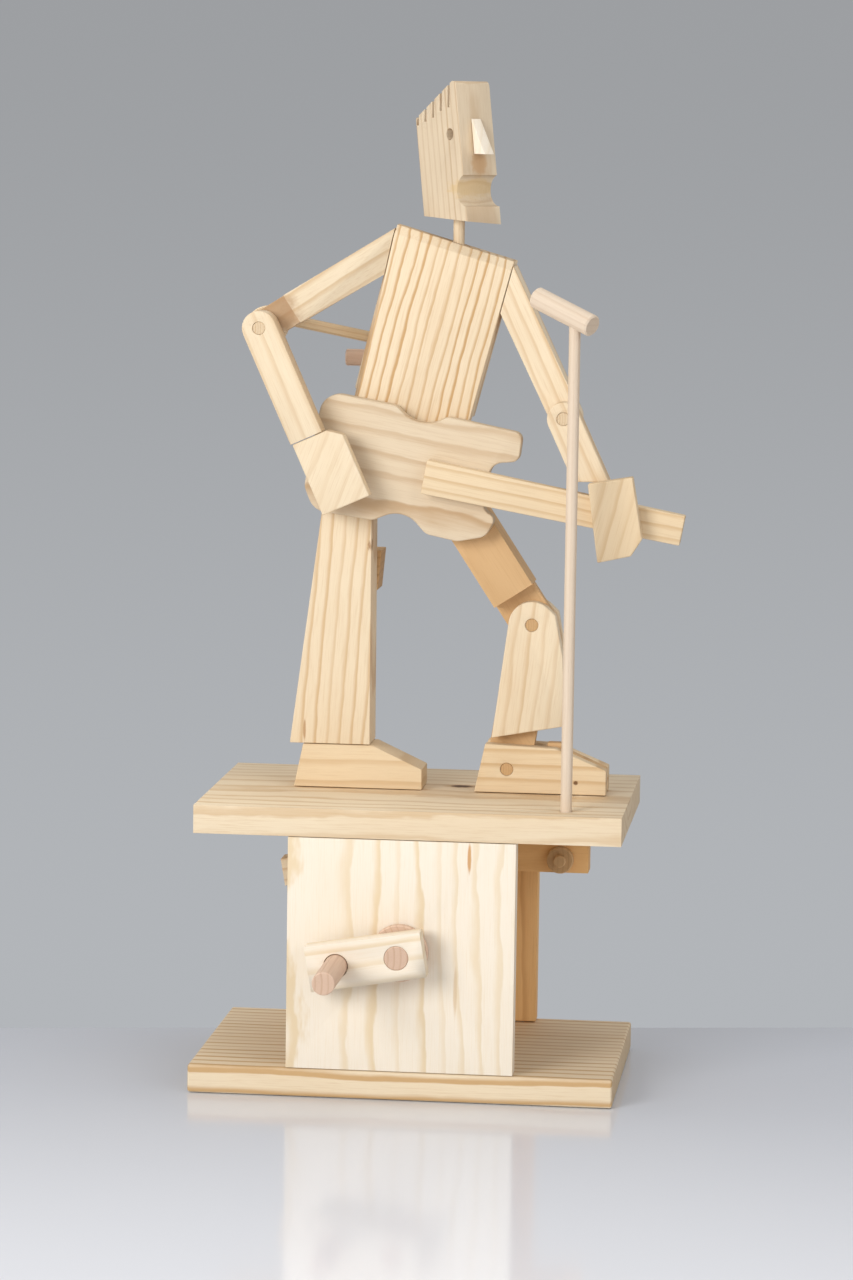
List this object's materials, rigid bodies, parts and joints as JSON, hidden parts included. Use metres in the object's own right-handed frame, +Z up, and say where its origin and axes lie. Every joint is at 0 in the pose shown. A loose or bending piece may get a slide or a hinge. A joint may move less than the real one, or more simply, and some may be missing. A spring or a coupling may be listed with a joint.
{
  "type": "hand-cranked wooden automaton",
  "caption": "Wooden block guitarist at a microphone on a two-deck stand; a side crank, levers and push rods move the strumming arm and the tapping foot.",
  "frame": {"origin": "centre of the base board's underside", "axes": "+Z up, -Y towards the crank handle side, +X to the right seen from there"},
  "size_m": [0.1695, 0.1441, 0.3551],
  "materials": {
    "pine": "bare sanded",
    "pale_pine": "bare sanded",
    "amber_pine": "bare sanded",
    "beech": "bare turned"
  },
  "bodies": {
    "stand": {"foot_lever_pivot": "beech", "foot_lever_pivot_collar_front": "beech", "foot_lever_pivot_collar_rear": "beech", "strum_lever_pivot": "beech", "strum_lever_pivot_collar_front": "beech", "strum_lever_pivot_collar_rear": "beech", "left_hip_dowel": "beech", "right_hip_pin": "beech", "right_elbow_pin": "beech", "mic_stand": "beech", "mic_head": "beech", "rod_guide": "amber_pine", "front_panel": "pale_pine", "guitar_body": "pale_pine", "left_upper_arm": "pale_pine", "base_board": "pine", "top_deck": "pine", "back_panel": "pine", "left_foot": "pine", "left_leg": "pine", "torso": "pine", "neck_dowel": "pine", "right_upper_arm": "pine", "right_forearm": "pine", "right_hand": "pine", "guitar_neck": "pine"},
    "crank": {"crank_shaft": "beech", "crank_arm": "pale_pine", "crank_handle": "beech", "crank_spacer": "beech", "foot_cam": "pine", "strum_cam": "pine", "shaft_collar_front": "beech", "shaft_collar_rear": "beech"},
    "strum_lever": {"strum_lever": "amber_pine"},
    "strum_rod": {"strum_rod": "pine", "strum_tee_bar": "beech"},
    "strum_arm": {"left_forearm": "pale_pine", "left_hand": "pale_pine", "left_elbow_pin": "beech", "left_elbow_disc": "beech", "strum_arm_dowel": "amber_pine"},
    "foot_lever": {"foot_lever": "amber_pine", "foot_lever_pin": "beech", "foot_lever_roller_front": "beech", "foot_lever_roller_rear": "beech"},
    "foot_rod": {"foot_rod": "pine"},
    "foot": {"right_foot_front_plate": "pale_pine", "right_foot_rear_plate": "pine", "right_toe_block": "amber_pine", "ankle_pin": "beech"},
    "thigh": {"right_thigh": "amber_pine"},
    "shin": {"shin_core": "pine", "shin_front_plate": "pale_pine", "shin_rear_plate": "pine", "knee_pin": "beech"},
    "head": {"head": "pale_pine", "nose": "pale_pine"}
  },
  "joints": [
    {"name": "crank_turn", "type": "hinge", "parent": "stand", "child": "crank", "pos_m": [0, 0, 0.053], "axis": [0, 1, 0], "continuous": true},
    {"name": "strum_lever_rock", "type": "hinge", "parent": "stand", "child": "strum_lever", "pos_m": [0.03, 0.022, 0.082], "axis": [0, 1, 0], "range_deg": [0, 12.5]},
    {"name": "strum_rod_lift", "type": "slide", "parent": "stand", "child": "strum_rod", "axis": [0, 0, 1], "range_m": [0, 0.0118]},
    {"name": "strum_arm_swing", "type": "hinge", "parent": "stand", "child": "strum_arm", "pos_m": [-0.0563, -0.01, 0.268], "axis": [0, -1, 0], "range_deg": [0, 16]},
    {"name": "foot_lever_rock", "type": "hinge", "parent": "stand", "child": "foot_lever", "pos_m": [-0.03, 0.0055, 0.079], "axis": [0, -1, 0], "range_deg": [0, 3.13]},
    {"name": "foot_rod_lift", "type": "slide", "parent": "stand", "child": "foot_rod", "axis": [0, 0, 1], "range_m": [0, 0.0047]},
    {"name": "foot_tap", "type": "hinge", "parent": "stand", "child": "foot", "pos_m": [0.0203, 0.0055, 0.1029], "axis": [0, -1, 0], "range_deg": [0, 7.5]},
    {"name": "hip_swing", "type": "hinge", "parent": "stand", "child": "thigh", "pos_m": [0.003, 0.0055, 0.2196], "axis": [0, -1, 0], "range_deg": [0, 1.58]},
    {"name": "knee_bend", "type": "hinge", "parent": "thigh", "child": "shin", "pos_m": [0.04, 0.0055, 0.1634], "axis": [0, 1, 0], "range_deg": [0, 4.54]},
    {"name": "head_turn", "type": "hinge", "parent": "stand", "child": "head", "pos_m": [0.011, 0.0055, 0.3062], "axis": [0, 0, 1], "range_deg": [-30, 30]}
  ],
  "couplings": [
    {"joint": "strum_rod_lift", "follows": "strum_lever_rock", "m_per_rad": 0.054082},
    {"joint": "strum_arm_swing", "follows": "strum_lever_rock", "ratio": 1.2799},
    {"joint": "foot_rod_lift", "follows": "foot_lever_rock", "m_per_rad": 0.086027},
    {"joint": "foot_tap", "follows": "foot_lever_rock", "ratio": 2.3959},
    {"joint": "hip_swing", "follows": "foot_lever_rock", "ratio": 0.50474},
    {"joint": "knee_bend", "follows": "foot_lever_rock", "ratio": 1.4503}
  ]
}
